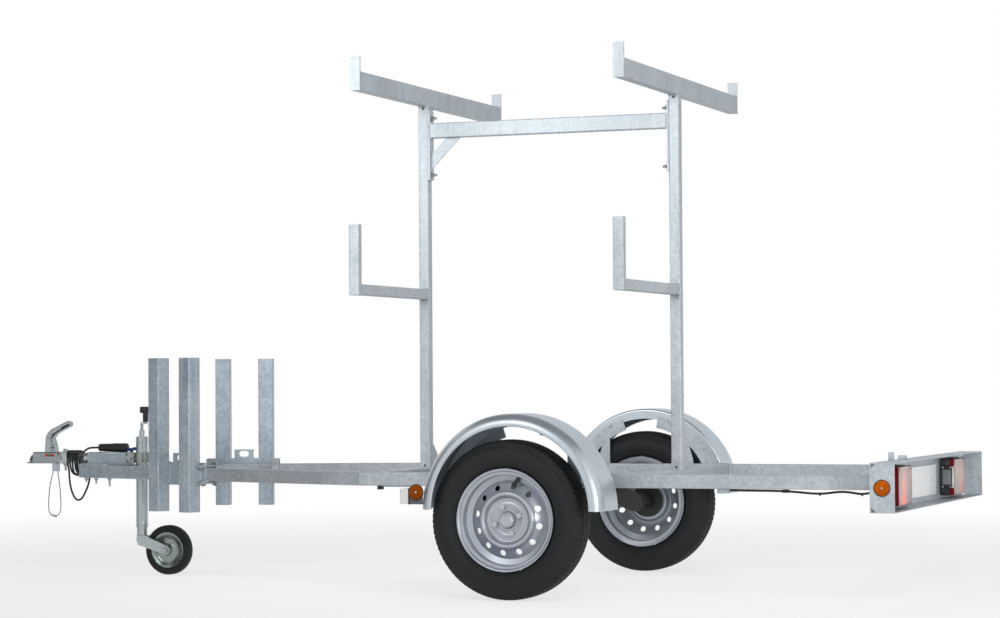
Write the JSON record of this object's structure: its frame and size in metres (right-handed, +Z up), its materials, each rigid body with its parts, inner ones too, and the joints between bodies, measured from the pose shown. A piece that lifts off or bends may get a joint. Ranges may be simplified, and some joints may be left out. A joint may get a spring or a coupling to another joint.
{
  "type": "scaffold trailer",
  "caption": "Open galvanised trailer for scaffold tubes and boards: V drawbar with ball coupling and jockey wheel, two load posts with T-bars and arms, mudguarded road wheels, rear light bar",
  "frame": {"origin": "on the ground under the middle of the part's box", "axes": "+X forward to the coupling, +Y to the trailer's left, +Z up"},
  "size_m": [3.824, 1.728, 1.969],
  "materials": {
    "galvanised": "hot-dip galvanised, spangled",
    "galvanised_sheet": "bright galvanised sheet",
    "bright_zinc": "bright zinc plate",
    "black_steel": "satin black",
    "tyre_rubber": "moulded rubber",
    "silver_paint": "silver paint",
    "jockey_rim_zinc": "zinc plate",
    "red_lens": "ribbed lens",
    "white_plate": "blank reflective plate",
    "clear_lens": "clear lens",
    "amber_lens": "prismatic reflector",
    "blue_plastic": "moulded",
    "black_plastic": "moulded",
    "cable_rubber": "smooth sheath",
    "wire_rope": "stranded wire"
  },
  "bodies": {
    "chassis": {"drawbar_left": "galvanised", "drawbar_right": "galvanised", "side_beam_left": "galvanised", "side_beam_right": "galvanised", "cross_member_front": "galvanised", "cross_member_rear": "galvanised", "axle_beam": "black_steel", "swing_arm_left": "black_steel", "swing_arm_right": "black_steel", "mudguard_left": "galvanised_sheet", "mudguard_right": "galvanised_sheet", "guard_brackets": "galvanised", "post_front": "galvanised", "post_rear": "galvanised", "t_bar_front": "galvanised", "t_bar_rear": "galvanised", "load_arm_front": "galvanised", "load_arm_rear": "galvanised", "top_rail": "galvanised", "holder_left": "galvanised", "holder_right": "galvanised", "stanchions_left": "galvanised", "stanchions_right": "galvanised", "holder_clamps": "bright_zinc", "light_bar": "galvanised", "lamp_left": "red_lens", "lamp_right": "red_lens", "number_plate": "white_plate", "marker_brackets": "galvanised", "marker_lenses": "clear_lens", "reflectors_front": "amber_lens", "reflectors_rear": "amber_lens", "joint_plate": "galvanised", "coupling_box": "galvanised", "coupling_shank": "bright_zinc", "coupling_head": "bright_zinc", "coupling_cup": "bright_zinc", "coupling_lever": "bright_zinc", "jockey_clamp": "bright_zinc", "clamp_lever": "blue_plastic", "jockey_tube": "bright_zinc", "jockey_crank": "bright_zinc", "crank_grip": "black_plastic", "trailer_plug": "black_plastic", "cable_coil": "cable_rubber", "cable_gland": "black_plastic", "trailer_cable": "cable_rubber", "safety_tab": "bright_zinc", "safety_cable": "wire_rope", "light_cable": "cable_rubber"},
    "wheel_left": {"tyre_left": "tyre_rubber", "rim_left": "silver_paint", "hub_left": "bright_zinc"},
    "wheel_right": {"tyre_right": "tyre_rubber", "rim_right": "silver_paint", "hub_right": "bright_zinc"},
    "jockey_lift": {"jockey_stem": "bright_zinc"},
    "jockey_swivel": {"jockey_fork": "bright_zinc"},
    "jockey_wheel": {"jockey_tyre": "tyre_rubber", "jockey_rim": "jockey_rim_zinc"}
  },
  "joints": [
    {"name": "wheel_left_spin", "type": "hinge", "parent": "chassis", "child": "wheel_left", "pos_m": [-0.533, 0.762, 0.284], "axis": [0, 1, 0], "continuous": true},
    {"name": "wheel_right_spin", "type": "hinge", "parent": "chassis", "child": "wheel_right", "pos_m": [-0.533, -0.762, 0.284], "axis": [0, 1, 0], "continuous": true},
    {"name": "jockey_lift", "type": "slide", "parent": "chassis", "child": "jockey_lift", "axis": [0, 0, 1], "range_m": [-0.15, 0.027]},
    {"name": "jockey_swivel", "type": "hinge", "parent": "jockey_lift", "child": "jockey_swivel", "pos_m": [1.375, 0, 0.144], "axis": [0, 0, 1], "continuous": true},
    {"name": "jockey_wheel_spin", "type": "hinge", "parent": "jockey_swivel", "child": "jockey_wheel", "pos_m": [1.25, 0, 0.1], "axis": [0, 1, 0], "continuous": true}
  ]
}
